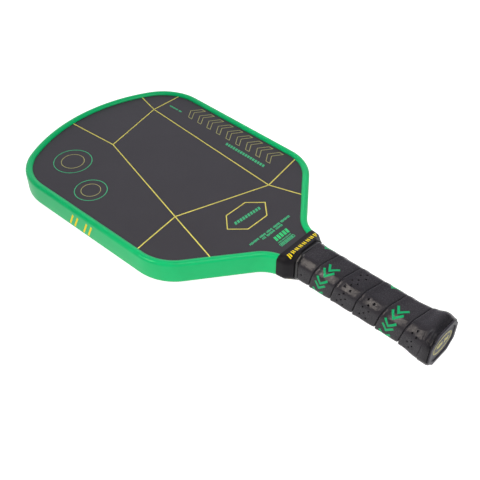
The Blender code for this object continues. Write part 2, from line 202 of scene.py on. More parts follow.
class Nodes:
    """Short way to build a material's node tree."""

    def __init__(self, name):
        self.material = bpy.data.materials.new(name)
        self.material.use_nodes = True
        self.tree = self.material.node_tree
        self.shader = self.tree.nodes["Principled BSDF"]

    def add(self, kind, **settings):
        node = self.tree.nodes.new(kind)
        for key, value in settings.items():
            setattr(node, key, value)
        return node

    def link(self, source, target):
        self.tree.links.new(source, target)

    def coords(self, scale=(1.0, 1.0, 1.0)):
        where = self.add("ShaderNodeTexCoord")
        mapping = self.add("ShaderNodeMapping")
        mapping.inputs["Scale"].default_value = scale
        self.link(where.outputs["Object"], mapping.inputs["Vector"])
        return mapping.outputs["Vector"]

    def noise(self, vector, scale, detail=2.0, roughness=0.5):
        noise = self.add("ShaderNodeTexNoise")
        noise.inputs["Scale"].default_value = scale
        noise.inputs["Detail"].default_value = detail
        noise.inputs["Roughness"].default_value = roughness
        self.link(vector, noise.inputs["Vector"])
        return noise.outputs["Fac"]

    def ramp(self, value, stops):
        """Colour ramp from (position, colour) stops."""
        ramp = self.add("ShaderNodeValToRGB")
        elements = ramp.color_ramp.elements
        while len(elements) < len(stops):
            elements.new(0.5)
        for element, (position, colour) in zip(elements, stops):
            element.position = position
            element.color = (*colour, 1.0)
        self.link(value, ramp.inputs["Fac"])
        return ramp.outputs["Color"]

    def spread(self, value, low, high):
        """Map 0..1 onto low..high."""
        mapped = self.add("ShaderNodeMapRange")
        mapped.inputs["To Min"].default_value = low
        mapped.inputs["To Max"].default_value = high
        self.link(value, mapped.inputs["Value"])
        return mapped.outputs["Result"]

    def maths(self, operation, a, b=None):
        node = self.add("ShaderNodeMath", operation=operation)
        for slot, value in enumerate((a, b)):
            if value is None:
                continue
            if isinstance(value, (int, float)):
                node.inputs[slot].default_value = value
            else:
                self.link(value, node.inputs[slot])
        return node.outputs["Value"]

    def bump(self, height, distance, strength=1.0, below=None):
        node = self.add("ShaderNodeBump")
        node.inputs["Strength"].default_value = strength
        node.inputs["Distance"].default_value = distance
        self.link(height, node.inputs["Height"])
        if below:
            self.link(below, node.inputs["Normal"])
        return node.outputs["Normal"]


def set_shader(shader, **values):
    for key, value in values.items():
        shader.inputs[key.replace("_", " ")].default_value = value


def face_material():
    """Raw carbon face: dark peel-ply grit over a faint cloudy tone."""
    m = Nodes("raw_carbon_face")
    set_shader(m.shader, Roughness=0.55, Specular_IOR_Level=0.4)
    where = m.coords()
    grit = m.noise(where, 2600.0, 3.0, 0.7)
    cloud = m.noise(where, 22.0, 3.0, 0.5)
    both = m.maths("ADD", m.maths("MULTIPLY", grit, 0.7), m.maths("MULTIPLY", cloud, 0.3))
    colour = m.ramp(both, [(0.30, (0.022, 0.020, 0.0245)), (0.72, (0.036, 0.033, 0.039))])
    m.link(colour, m.shader.inputs["Base Color"])
    m.link(m.bump(grit, 0.00008, 0.5), m.shader.inputs["Normal"])
    return m.material


def guard_material():
    """Moulded green elastomer with a soft satin surface."""
    m = Nodes("edge_guard_green")
    set_shader(m.shader, Specular_IOR_Level=0.22)
    where = m.coords()
    mottle = m.noise(where, 60.0, 3.0, 0.55)
    colour = m.ramp(mottle, [(0.25, (0.0, 0.465, 0.140)), (0.75, (0.0, 0.51, 0.158))])
    m.link(colour, m.shader.inputs["Base Color"])
    grain = m.noise(where, 1500.0, 2.0, 0.6)
    m.link(m.spread(grain, 0.32, 0.44), m.shader.inputs["Roughness"])
    m.link(m.bump(grain, 0.00003, 0.35), m.shader.inputs["Normal"])
    return m.material


def plain_material(
    name, colour, roughness, grain_scale=900.0, vary=0.12, metallic=0.0, depth=0.00003, gloss=0.5
):
    """Moulded, sheet or foam material with fine grain and slight colour variation."""
    m = Nodes(name)
    set_shader(m.shader, Metallic=metallic, Specular_IOR_Level=gloss)
    where = m.coords()
    grain = m.noise(where, grain_scale, 3.0, 0.6)
    cloud = m.noise(where, grain_scale / 24.0, 2.0, 0.5)
    low = tuple(c * (1.0 - vary) for c in colour)
    high = tuple(min(1.0, c * (1.0 + vary)) for c in colour)
    m.link(m.ramp(cloud, [(0.3, low), (0.7, high)]), m.shader.inputs["Base Color"])
    m.link(m.spread(grain, roughness - 0.06, roughness + 0.06), m.shader.inputs["Roughness"])
    m.link(m.bump(grain, depth, 0.4), m.shader.inputs["Normal"])
    return m.material


def grip_material():
    """Stretched tacky grip film: soft dimples in the sheen; base colour darkened towards the butt end as
    painted shade of the folded-in end.
    """
    m = Nodes("grip_polyurethane")
    set_shader(m.shader, Specular_IOR_Level=0.13)
    where = m.coords()
    cloud = m.noise(where, 40.0, 2.0, 0.5)
    dimples = m.noise(where, 300.0, 2.0, 0.5)
    grain = m.noise(where, 1400.0, 2.0, 0.6)
    parts = m.add("ShaderNodeSeparateXYZ")
    m.link(where, parts.inputs["Vector"])
    # Painted shade: base colour halved at the butt end, rising to full 7 mm in, for the shadow inside the
    # folded-in end.
    fold = m.add("ShaderNodeMapRange")
    fold.inputs["From Min"].default_value = at(2.0 * MM)
    fold.inputs["From Max"].default_value = at(7.0 * MM)
    fold.inputs["To Min"].default_value = 0.5
    m.link(parts.outputs["Y"], fold.inputs["Value"])
    shade = m.add("ShaderNodeVectorMath", operation="SCALE")
    m.link(m.ramp(cloud, [(0.3, (0.028, 0.0265, 0.031)), (0.7, (0.034, 0.032, 0.037))]), shade.inputs[0])
    m.link(fold.outputs["Result"], shade.inputs["Scale"])
    m.link(shade.outputs["Vector"], m.shader.inputs["Base Color"])
    m.link(m.spread(grain, 0.22, 0.32), m.shader.inputs["Roughness"])
    soft = m.bump(dimples, 0.00022, 1.0)
    m.link(m.bump(grain, 0.00002, 0.3, soft), m.shader.inputs["Normal"])
    return m.material


def ink_material(name, colour):
    """Printed ink: slightly uneven cover on a gritty ground."""
    m = Nodes(name)
    where = m.coords()
    grain = m.noise(where, 1800.0, 2.0, 0.6)
    low = tuple(c * 0.86 for c in colour)
    m.link(m.ramp(grain, [(0.3, low), (0.7, colour)]), m.shader.inputs["Base Color"])
    set_shader(m.shader, Roughness=0.6, Specular_IOR_Level=0.2)
    return m.material


FACE = face_material()
GUARD = guard_material()
RUBBER = plain_material("collar_rubber", (0.010, 0.009, 0.011), 0.5, gloss=0.12)
GRIP = grip_material()
# Near-black pore material: painted shade on the walls and floors of the punched holes.
PORE = plain_material("grip_pore_painted_shade", (0.006, 0.006, 0.007), 0.8, gloss=0.05)
TAPE = plain_material("finishing_tape_film", (0.012, 0.012, 0.013), 0.3)
CAP = plain_material("cap_plastic", (0.030, 0.028, 0.036), 0.45, gloss=0.22)
BADGE = plain_material("badge_film", (0.018, 0.018, 0.026), 0.4, gloss=0.2)
CORE = plain_material("core_polypropylene", (0.72, 0.72, 0.70), 0.55)
VEIL = plain_material("polyester_veil", (0.60, 0.60, 0.58), 0.9, 1400.0)
FOAM = plain_material("rigid_foam", (0.78, 0.72, 0.52), 0.9, 1200.0, depth=0.0002)
STEEL = plain_material("staple_steel", (0.62, 0.62, 0.64), 0.3, metallic=1.0)
FILM = plain_material("adhesive_film", (0.70, 0.66, 0.52), 0.4)
YELLOW = ink_material("yellow_ink", (0.80, 0.72, 0.14))
DIM_YELLOW = ink_material("fine_yellow_ink", (0.46, 0.44, 0.16))
GREEN_INK = ink_material("green_ink", (0.06, 0.56, 0.24))
BRIGHT_YELLOW = ink_material("bright_yellow_ink", (1.0, 0.78, 0.01))
BRIGHT_GREEN = ink_material("bright_green_ink", (0.04, 0.78, 0.24))
GRIP_INK = ink_material("grip_green_ink", (0.0, 0.38, 0.13))
BADGE_INK = ink_material("badge_ink", (0.62, 0.56, 0.22))

NODE_MATERIALS = {
    "honeycomb_core": CORE,
    "core_scrim_front": VEIL,
    "core_scrim_back": VEIL,
    "rim_foam": FOAM,
    "handle_core": FOAM,
    "handle_pallet_front": FOAM,
    "handle_pallet_back": FOAM,
    "face_sheet_front": FACE,
    "face_sheet_back": FACE,
    "edge_guard": GUARD,
    "butt_cap": CAP,
    "butt_badge": BADGE,
    "grip_adhesive_strip": FILM,
    "grip_wrap": GRIP,
    "finishing_tape": TAPE,
    "collar_ring": RUBBER,
}


def dress_nodes():
    for name, node in frame["nodes"].items():
        chosen = NODE_MATERIALS.get(name, STEEL)
        for slot in node.material_slots:
            slot.material = chosen


# ------------------------------------------------------------------ edge guard


THROAT_LIP_SHARE = 0.93


def smooth_step(start, end, value):
    """0 at start, 1 at end, eased between."""
    share = min(1.0, max(0.0, (value - start) / (end - start)))
    return share * share * (3.0 - 2.0 * share)


GUARD_END = 129.5 * MM
GUARD_CORNER = 3.0 * MM
GUARD_WALL = 1.8 * MM
LIP_EDGE = 6.3 * MM
LIP_DROPS = [(6.25, 2.10), (6.12, 1.55), (5.85, 1.16), (5.40, 0.86), (4.85, 0.57)]
CORNER_STEPS = 11


def build_guard():
    """C-section guard with a soft crest, a rounded outer corner and a flat side wall."""
    corner = GUARD_CORNER
    crest = GUARD_TOP - 0.05 * MM
    bend_z = crest - corner
    lip_z = FACE_Z + 0.1 * MM
    wall = GUARD_WALL
    upper = [(LIP_EDGE, lip_z)] + [(depth * MM, crest - drop * MM) for depth, drop in LIP_DROPS]
    for step in range(CORNER_STEPS + 1):
        angle = math.radians(66 + 114 * step / CORNER_STEPS)
        upper.append((corner + corner * math.cos(angle), bend_z + corner * math.sin(angle)))
    lower = [(depth, -z) for depth, z in reversed(upper)]
    section = upper + [(0.0, 0.0)] + lower + [(wall, -lip_z), (wall, lip_z)]
    full = [outline_path(depth, GUARD_END) for depth, _ in section]
    narrow = [outline_path(depth * THROAT_LIP_SHARE, GUARD_END) for depth, _ in section]
    rings = []
    for step in range(len(full[0])):
        ring = []
        for wide, slim, (depth, z) in zip(full, narrow, section):
            share = smooth_step(at(185 * MM), at(150 * MM), wide[step].y) if depth > wall else 0.0
            p = wide[step].lerp(slim[step], share)
            ring.append(Vector((p.x, p.y, z)))
        rings.append(ring)
    bm = bmesh.new()
    skin_rings(bm, rings, closed=False)
    guard = add_piece("edge_guard_moulding", bm, GUARD)
    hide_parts("edge_guard")


# --------------------------------------------------------------- strokes of ink

INK_TOP = 0.05 * MM
INK_BOTTOM = -0.05 * MM


def resample(path, spacing, closed=False):
    """Add points along a path of 2-D points so that none are further apart than spacing."""
    ends = path[1:] + path[:1] if closed else path[1:]
    fine = []
    for start, end in zip(path, ends):
        runs = max(1, math.ceil((end - start).length / spacing))
        fine += [start.lerp(end, k / runs) for k in range(runs)]
    return fine if closed else fine + [path[-1]]


def rails(path, width, closed):
    """Left and right rails of a stroke, mitred at the corners."""
    count = len(path)
    left = []
    right = []
    for i, point in enumerate(path):
        before = path[i - 1] if closed or i else None
        after = path[(i + 1) % count] if closed or i < count - 1 else None
        into = (point - before).normalized() if before is not None else None
        out = (after - point).normalized() if after is not None else None
        into = into or out
        out = out or into
        middle = (into + out).normalized()
        normal = Vector((-middle.y, middle.x))
        reach = width / 2 / max(0.5, middle.dot(into))
        left.append(point + normal * reach)
        right.append(point - normal * reach)
    return left, right


def stroke(bm, path, width, place, closed=False, spacing=1.5 * MM, across=1):
    """Flat ribbon of ink along a path in (u, v), laid on a surface by place(u, v, lift)."""
    fine = resample([Vector(p) for p in path], spacing, closed)
    left, right = rails(fine, width, closed)
    rings = []
    for a, b in zip(left, right):
        row = [a.lerp(b, k / across) for k in range(across + 1)]
        ring = [place(p.x, p.y, INK_TOP) for p in row]
        ring += [place(p.x, p.y, INK_BOTTOM) for p in reversed(row)]
        rings.append(ring)
    skin_rings(bm, rings, closed)


# Plain shapes drawn in a cell one unit wide and high: lists of (points, closed).
UNIT_SHAPES = {
    "slants": [([(0.0, 0.0), (0.5, 1.0)], False), ([(0.5, 0.0), (1.0, 1.0)], False)],
    "arrows": [
        ([(0.0, 0.0), (0.5, 0.5), (0.0, 1.0)], False),
        ([(0.5, 0.0), (1.0, 0.5), (0.5, 1.0)], False),
    ],
    "arrow": [([(0.0, 0.0), (0.42, 0.0), (1.0, 0.5), (0.42, 1.0), (0.0, 1.0), (0.56, 0.5)], True)],
}


MARK_SPACING = 0.7 * MM  # step of marks that lie on a curved surface


def draw_shape(bm, place, kind, size, origin, axes, weight, **fineness):
    """Draw one plain shape with its corner at the origin; axes are the row and its upward way."""
    for points, closed in UNIT_SHAPES[kind]:
        cell = [Vector((x * size[0], y * size[1])) for x, y in points]
        stroke(bm, moved(cell, origin, *axes), weight, place, closed=closed, **fineness)


def moved(points, origin, along, up):
    """Carry a cell's points to an origin in (u, v), along the row and its upward way."""
    return [origin + along * p.x + up * p.y for p in points]


# --------------------------------------------------------- marks on the faces


def face_place(side):
    """Lay marks on the front (side 1) or back (side -1) face, each seen the right way round."""
    return lambda u, v, lift: Vector((side * u, v, side * (FACE_Z + lift)))


PANEL_LINE = 0.95 * MM
PANEL_POINTS = {
    "A": (-10.4, 344.9),
    "B": (55.1, 360.8),
    "C": (42.6, 200.6),
    "D": (-41.1, 229.6),
    "top_left": (-14.3, 402.0),
    "top_right": (62.3, 388.5),
    "corner_right": (90.5, 360.0),
    "side_right": (89.5, 208.2),
    "shoulder_right": (52.6, 169.8),
    "side_left": (-90.5, 223.0),
    "shoulder_left": (-56.2, 172.4),
}
PANEL_LINES = ["AB", "BC", "CD", "DA"]
PANEL_RUNS = [
    ("A", "top_left"),
    ("B", "top_right"),
    ("B", "corner_right"),
    ("C", "side_right"),
    ("C", "shoulder_right"),
    ("D", "side_left"),
    ("D", "shoulder_left"),
]


def panel_lines(bm, place):
    """Straight lines that split the face into panels."""
    runs = [(pair[0], pair[1]) for pair in PANEL_LINES] + PANEL_RUNS
    for start, end in runs:
        path = [Vector(PANEL_POINTS[start]) * MM, Vector(PANEL_POINTS[end]) * MM]
        stroke(bm, path, PANEL_LINE, place, spacing=40 * MM)


RINGS = [((-51.4, 351.5), 17.0), ((-66.4, 307.5), 14.0)]
RING_LINES = [(1.0, 0.62), (0.6, 0.55)]


def ring_marks(green, yellow, place):
    """Two plain marks, each a green ring with a smaller yellow ring inside it."""
    for centre, radius in RINGS:
        for bm, (share, weight) in zip((green, yellow), RING_LINES):
            reach = radius * share * MM
            ring = [Vector(centre) * MM + polar(reach, math.radians(10 * k)) for k in range(36)]
            stroke(bm, ring, weight * MM, place, closed=True)


BAND_START = Vector((66.6, 220.4)) * MM
BAND_HEIGHT = 18.2 * MM
BAND_LINE = 0.55 * MM
BAND_GAP = 1.9 * MM
BAND_CELL = 10.8 * MM
BAND_COUNT = 9


def band_marks(yellow, place):
    """Row of equal outlined chevrons beside the right edge."""
    along = Vector((math.sin(SIDE_TAPER), math.cos(SIDE_TAPER)))
    up = Vector((along.y, -along.x))
    travel = 0.0
    for _ in range(BAND_COUNT):
        origin = BAND_START + along * travel
        size = (BAND_CELL, BAND_HEIGHT)
        draw_shape(yellow, place, "arrow", size, origin, (along, up), BAND_LINE, spacing=30 * MM)
        travel += BAND_CELL + BAND_GAP


def dash_row(bm, place, start, end, height, pitch, cover=0.62, skip=()):
    """Row of small upright dashes from start to end; skip lists the dashes to leave out."""
    start = Vector(start) * MM
    end = Vector(end) * MM
    along = (end - start).normalized()
    up = Vector((-along.y, along.x))
    count = int((end - start).length / (pitch * MM))
    for i in range(count):
        if i in skip:
            continue
        centre = start + along * (i + 0.5) * pitch * MM
        tall = height * MM * (1.0 if i % 3 else 0.72)
        stroke(bm, [centre - up * tall / 2, centre + up * tall / 2], pitch * cover * MM, place)


def shape_row(bm, place, start, end, height, kinds, weight, cover=0.72):
    """Row of small plain shapes between two points."""
    start = Vector(start) * MM
    end = Vector(end) * MM
    along = (end - start).normalized()
    up = Vector((-along.y, along.x))
    cell = (end - start).length / len(kinds)
    for i, kind in enumerate(kinds):
        size = (cell * cover, height * MM)
        draw_shape(bm, place, kind, size, start + along * cell * i, (along, up), weight * MM)


HEXAGON_CENTRE = Vector((0.0, 187.5))
HEXAGON_RADII = (23.0, 14.0)


def throat_marks(green, bright, yellow, place):
    """Plain hexagon round a row of slanted bars, and the rows and blocks by the throat."""
    corners = [polar(1.0, math.radians(60 * k)) for k in range(6)]
    reaches = [Vector((c.x * HEXAGON_RADII[0], c.y * HEXAGON_RADII[1])) for c in corners]
    hexagon = [(HEXAGON_CENTRE + reach) * MM for reach in reaches]
    stroke(yellow, hexagon, 0.8 * MM, place, closed=True)
    shape_row(green, place, (-14.2, 185.9), (15.6, 184.4), 3.2, ["slants"] * 10, 0.8)
    dash_row(green, place, (-24.8, 161.6), (24.6, 161.6), 2.2, 1.35, skip=(8, 14, 20, 27))
    dash_row(green, place, (-12.8, 158.8), (11.8, 158.8), 2.0, 1.35, skip=(3, 11))
    shape_row(bright, place, (-6.2, 148.8), (10.6, 148.8), 4.9, ["slants"] * 5, 0.9, 0.76)
    dash_row(green, place, (-7.6, 146.7), (8.6, 146.7), 1.1, 1.3)
    frame = [(-8.2, 142.3), (8.2, 142.3), (8.2, 144.9), (-8.2, 144.9)]
    stroke(green, [Vector(p) * MM for p in frame], 0.5 * MM, place, closed=True)
    dash_row(green, place, (-7.4, 143.6), (7.4, 143.6), 1.6, 1.2)


def side_rows(green, place):
    """Slanted bars beside the chevrons, and a short row of dashes near the top."""
    shape_row(green, place, (63.4, 269.6), (61.6, 220.4), -3.3, ["slants"] * 16, 0.85)
    dash_row(green, place, (70.4, 354.6), (70.2, 336.6), 1.8, 1.3, cover=0.75, skip=(9,))


def build_face_marks():
    for side, name in ((1, "front"), (-1, "back")):
        place = face_place(side)
        green = bmesh.new()
        yellow = bmesh.new()
        fine = bmesh.new()
        bright = bmesh.new()
        panel_lines(yellow, place)
        ring_marks(green, fine, place)
        band_marks(fine, place)
        throat_marks(green, bright, yellow, place)
        side_rows(green, place)
        add_piece("panel_lines_" + name, yellow, YELLOW)
        add_piece("fine_lines_" + name, fine, DIM_YELLOW)
        add_piece("green_marks_" + name, green, GREEN_INK)
        add_piece("bright_marks_" + name, bright, BRIGHT_GREEN)


# ------------------------------------------------------ marks on the edge guard


def wall_place(side):
    """Lay marks on the straight side wall: u along the paddle, v across its thickness."""
    def place(u, v, lift):
        reach = WIDTH / 2 + (u - at(WIDEST_STATION)) * math.tan(SIDE_TAPER)
        return Vector((side * (reach + lift), u, v))
    return place


EDGE_MARKS = [Vector((301.4, -6.8)) * MM, Vector((284.0, -6.8)) * MM]
EDGE_MARK_SIZE = (12.0 * MM, 12.0 * MM)
EDGE_MARK_LINE = 1.8 * MM


def build_edge_marks():
    """Two pairs of slanted bars printed in yellow on each side wall."""
    bm = bmesh.new()
    axes = (Vector((-1.0, 0.0)), Vector((0.0, 1.0)))
    for side in (-1, 1):
        place = wall_place(side)
        for origin in EDGE_MARKS:
            draw_shape(bm, place, "slants", EDGE_MARK_SIZE, origin, axes, EDGE_MARK_LINE)
    add_piece("edge_marks", bm, BRIGHT_YELLOW)


# --------------------------------------------------------------- octagon rings


def octagon(reaches, rounding, corner_points):
    """Rounded octagon in (x, z) from its eight flats' reaches, as (point, normal) pairs."""
    ring = []
    for side in range(8):
        start = math.radians(45 * side)
        end = start + math.radians(45)
        centre = meet_lines(
            polar(1.0, start),
            reaches[side] - rounding,
            polar(1.0, end),
            reaches[(side + 1) % 8] - rounding,
        )
        for step in range(corner_points):
            angle = start + (end - start) * step / (corner_points - 1)
            ring.append((centre + polar(rounding, angle), polar(1.0, angle)))
    return ring


def handle_reaches(offset, bevel_trim=0.0):
    bevel = 13.73 * MM + offset - bevel_trim
    return [13.0 * MM + offset, bevel, 11.25 * MM + offset, bevel] * 2


def even_ring(pairs, count, start=0.0):
    """Spread count points evenly round a closed ring of (point, normal) pairs."""
    points = [p for p, _ in pairs] + [pairs[0][0]]
    normals = [n for _, n in pairs] + [pairs[0][1]]
    travel = [0.0]
    for a, b in zip(points, points[1:]):
        travel.append(travel[-1] + (b - a).length)
    total = travel[-1]
    wanted = [(start + total * k / count) % total for k in range(count)]
    ring = []
    for distance in wanted:
        i = min(len(points) - 2, int(np.searchsorted(travel, distance, side="right")) - 1)
        share = (distance - travel[i]) / max(1e-9, travel[i + 1] - travel[i])
        normal = normals[i].lerp(normals[i + 1], share).normalized()
        ring.append((points[i].lerp(points[i + 1], share), normal))
    return ring


# ---------------------------------------------------------------- wound grip

WRAP_TOP = at(120.4 * MM)
WRAP_END = at(1.5 * MM)
WRAP_BASE = 2.7 * MM
WRAP_INNER = 1.0 * MM
GRIP_SIDES = 96
PITCH = 20.55 * MM
FIRST_SEAM = 117.3 * MM
STRIPS = 8
GIRTH = 103.57 * MM
# Profile across one strip: distance below its head-side seam and height over the base.
STRIP_PROFILE = [
    (0.00, -1.50),
    (0.30, -1.10),
    (0.52, 0.22),
    (1.00, 0.42),
    (1.70, 0.44),
    (2.50, 0.38),
    (3.30, 0.27),
    (4.05, 0.15),
    (4.95, 0.07),
    (5.90, 0.03),
    (6.87, 0.03),
    (7.83, 0.05),
    (8.80, 0.08),
    (9.77, 0.11),
    (10.73, 0.14),
    (11.70, 0.16),
    (12.60, 0.17),
    (13.40, 0.18),
    (14.15, 0.18),
    (14.90, 0.17),
    (15.70, 0.15),
    (16.80, 0.11),
    (17.90, 0.04),
    (18.90, -0.06),
    (19.60, -0.16),
    (20.00, -0.30),
    (20.25, -1.00),
]
BUTT_SQUEEZE_FROM = 16.0 * MM
BUTT_SQUEEZE = 0.3
FLARE_STATIONS = np.array([1.5, 3.5, 6.0, 9.0, 12.0, 16.0, 20.0, 26.0, 34.0, 121.5]) * MM
FLARE_OFFSETS = np.array([2.8, 2.95, 2.95, 2.75, 2.3, 1.7, 1.0, 0.35, 0.0, 0.0]) * MM
BULGE_ANGLE = math.radians(50)
BULGE_STATION = 8.5
BULGE_LENGTH = 5.2
BULGE_HEIGHT = 1.6 * MM
HOLLOW_ANGLE = math.radians(92)
HOLLOW_STATION = 2.4
HOLLOW_LENGTH = 2.6
HOLLOW_DEPTH = 2.0 * MM


def smooth_flare(y):
    """Height of the grip over its straight part, where it covers the butt cap."""
    station = y - RIM_Y
    spread = np.array([-2.0, -1.0, 0.0, 1.0, 2.0]) * MM
    return float(np.mean(np.interp(station + spread, FLARE_STATIONS, FLARE_OFFSETS)))


def pucker(s, y):
    """Stretch wrinkles and the fuller side of the strip where it turns in at the butt."""
    station = (y - RIM_Y) / MM
    along = s / GIRTH * 8.0
    near_bevel = 0.0
    if abs((along % 2.0) - 1.0) < 0.75:
        near_bevel = max(0.0, math.cos(math.pi * (along - 3.0) / 2.0)) ** 2
    fade = math.exp(-(((station - 6.0) / 3.6) ** 2))
    lean = 0.12 * (s / MM)
    wrinkle = 0.34 * MM * near_bevel * fade * math.sin(2 * math.pi * (station + lean) / 2.9)
    facing = max(0.0, math.cos(2 * math.pi * s / GIRTH - BULGE_ANGLE))
    bulge = BULGE_HEIGHT * facing ** 2 * math.exp(-(((station - BULGE_STATION) / BULGE_LENGTH) ** 2))
    above = max(0.0, math.cos(2 * math.pi * s / GIRTH - HOLLOW_ANGLE))
    hollow = HOLLOW_DEPTH * above ** 4 * math.exp(-(((station - HOLLOW_STATION) / HOLLOW_LENGTH) ** 2))
    return wrinkle + bulge - hollow


WRAP_RING = even_ring(octagon(handle_reaches(WRAP_BASE), 4.8 * MM, 11), GRIP_SIDES, 0.0)


def ring_start():
    """Index of the ring point on the +X axis."""
    return min(range(GRIP_SIDES), key=lambda i: abs(math.atan2(WRAP_RING[i][0].y, WRAP_RING[i][0].x)))


RING_ZERO = ring_start()


def relief(y):
    """Share of the strip's relief left, where the last turn is pulled flat over the cap."""
    return 0.35 + 0.65 * smooth_step(at(9.0 * MM), at(19.0 * MM), y)


def strip_height(v):
    """Height of the wound strip at a distance below its seam."""
    below = (-v) % PITCH
    stations = [d * MM for d, _ in STRIP_PROFILE] + [PITCH]
    heights = [h * MM for _, h in STRIP_PROFILE] + [STRIP_PROFILE[0][1] * MM]
    return float(np.interp(below, stations, heights))


def grip_point(s, y, lift):
    """Point on the wound surface: s round the handle from +X to +Z, y along it."""
    where = (s / GIRTH * GRIP_SIDES + RING_ZERO) % GRIP_SIDES
    i = int(where)
    share = where - i
    a, na = WRAP_RING[i]
    b, nb = WRAP_RING[(i + 1) % GRIP_SIDES]
    point = a.lerp(b, share)
    normal = na.lerp(nb, share).normalized()
    point = point + normal * lift
    return Vector((point.x, y, point.y))


def grip_lift(s, y):
    v = y - FIRST_SEAM - PITCH * (s / GIRTH)
    lift = smooth_flare(y) + pucker(s, y)
    return lift + strip_height(v) * relief(y)


def grip_place(s, y, lift):
    return grip_point(s % GIRTH, y, lift + grip_lift(s % GIRTH, y))


# Columns of the grid between holes of one row, and the first column of each punched row.
HOLE_STEP = 7.5
HOLE_ROWS = {9: 1.75, 12: 6.4, 15: 2.7}


def hole_ranges():
    """Runs of the strip that are perforated, as lengths along it from the first seam."""
    turn = GIRTH
    return [
        (48 * MM, turn + 40 * MM),
        (36 * MM - 3 * turn, 13 * MM - turn),
        (36 * MM - 5 * turn, 14 * MM - 4 * turn),
    ]


def is_hole(row_in_strip, strip, column):
    """True at the grid points where the strip is punched, in three staggered rows."""
    if row_in_strip not in HOLE_ROWS:
        return False
    travel = column - strip * GRIP_SIDES
    first = HOLE_ROWS[row_in_strip]
    nearest = round((travel - first) / HOLE_STEP)
    if round(first + nearest * HOLE_STEP) != travel:
        return False
    length = travel / GRIP_SIDES * GIRTH
    return any(low <= length <= high for low, high in hole_ranges())


def build_grip():
    """Helical grid of the wound strip, trimmed at both ends and closed on its inner wall."""
    rows = len(STRIP_PROFILE)
    bm = bmesh.new()
    grid = {}
    for column in range(GRIP_SIDES):
        s = GIRTH * column / GRIP_SIDES
        ring_index = (column + RING_ZERO) % GRIP_SIDES
        point, normal = WRAP_RING[ring_index]
        for strip in range(-1, STRIPS):
            for row, (below, height) in enumerate(STRIP_PROFILE):
                y = FIRST_SEAM - PITCH * strip - below * MM + PITCH * column / GRIP_SIDES
                y += BUTT_SQUEEZE * max(0.0, BUTT_SQUEEZE_FROM - y)
                lift = height * MM * relief(y) + smooth_flare(y) + pucker(s, y)
                p = point + normal * lift
                grid[column, (strip + 1) * rows + row] = bm.verts.new((p.x, y, p.y))
    total = (STRIPS + 1) * rows

    def corner(column, row):
        if column == GRIP_SIDES:
            return grid.get((0, row - rows))
        return grid.get((column, row))

    holes = set()
    for column in range(1, GRIP_SIDES - 1):
        for strip in range(-1, STRIPS):
            for row in range(rows):
                y = grid[column, (strip + 1) * rows + row].co.y
                if WRAP_END + 1.5 * MM < y < WRAP_TOP - 1.5 * MM and is_hole(row, strip, column):
                    holes.add((column, (strip + 1) * rows + row))
    taken = set()
    for column, row in holes:
        taken |= {(column + dx, row + dy) for dx in (-1, 0) for dy in (-1, 0)}
    for column in range(GRIP_SIDES):
        for row in range(total - 1):
            if (column, row) in taken:
                continue
            quad = [corner(column + dx, row + dy) for dx, dy in ((0, 0), (1, 0), (1, 1), (0, 1))]
            if all(quad):
                bm.faces.new(quad)
    around = [(-1, -1), (0, -1), (1, -1), (1, 0), (1, 1), (0, 1), (-1, 1), (-1, 0)]
    for column, row in holes:
        centre = grid[column, row]
        outer = [corner(column + dx, row + dy) for dx, dy in around]
        inward = Vector((-centre.co.x, 0.0, -centre.co.z)).normalized()
        rim = []
        floor = []
        for vert in outer:
            away = (vert.co - centre.co).normalized() * 0.74 * MM
            rim.append(bm.verts.new(centre.co + away))
            floor.append(bm.verts.new(centre.co + away * 0.9 + inward * 1.3 * MM))
        inside = [bm.faces.new(floor)]
        for i in range(8):
            j = (i + 1) % 8
            bm.faces.new((outer[i], outer[j], rim[j], rim[i]))
            inside.append(bm.faces.new((rim[i], rim[j], floor[j], floor[i])))
        # Hole walls and floors take the near-black pore material: painted shade inside the holes.
        for face in inside:
            face.material_index = 1
        bm.verts.remove(centre)
    bmesh.ops.recalc_face_normals(bm, faces=bm.faces)
    for y, outer_side in ((WRAP_TOP, 1.0), (WRAP_END, -1.0)):
        geom = list(bm.verts) + list(bm.edges) + list(bm.faces)
        normal = (0, outer_side, 0)
        bmesh.ops.bisect_plane(bm, geom=geom, plane_co=(0, y, 0), plane_no=normal, clear_outer=True)
    close_grip(bm)
    grip = add_piece("grip_wrap_wound", bm, GRIP, 0)
    grip.data.materials.append(PORE)
    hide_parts("grip_wrap")
    subdivision = grip.modifiers.new("smooth", "SUBSURF")
    subdivision.levels = 1
    subdivision.render_levels = 1


def close_grip(bm):
    """Add the inner wall and join it to both trimmed ends."""
    inner = [
        (WRAP_TOP, WRAP_INNER),
        (at(27.5 * MM), WRAP_INNER),
        (at(26.0 * MM), 1.4 * MM),
        (at(18.0 * MM), 2.1 * MM),
        (at(10.0 * MM), 3.2 * MM),
        (WRAP_END, 3.4 * MM),
    ]
    ends = {}
    for name, y in (("top", WRAP_TOP), ("end", WRAP_END)):
        ends[name] = [e for e in bm.edges if e.is_boundary and all(abs(v.co.y - y) < 1e-6 for v in e.verts)]
    loops = []
    for y, offset in inner:
        ring = octagon(handle_reaches(offset), 2.2 * MM, 4)
        loops.append([bm.verts.new((p.x, y, p.y)) for p, _ in ring])
    count = len(loops[0])
    for first, second in zip(loops, loops[1:]):
        for i in range(count):
            j = (i + 1) % count
            bm.faces.new((first[i], second[i], second[j], first[j]))
    for name, loop in (("top", loops[0]), ("end", loops[-1])):
        edges = ends[name] + [bm.edges.get((loop[i], loop[(i + 1) % count])) for i in range(count)]
        bmesh.ops.triangle_fill(bm, use_beauty=True, use_dissolve=False, edges=edges)
    bmesh.ops.recalc_face_normals(bm, faces=bm.faces)


GRIP_MARK_STRIPS = (1, 4)
GRIP_MARK_COUNT = 7
GRIP_MARK_LINE = 1.8 * MM
GRIP_MARK_START = 29.4 * MM
GRIP_MARK_DROP = 4.2 * MM
GRIP_MARK_PITCH = 13.4 * MM
GRIP_MARK_SIZE = (11.0 * MM, 9.2 * MM)


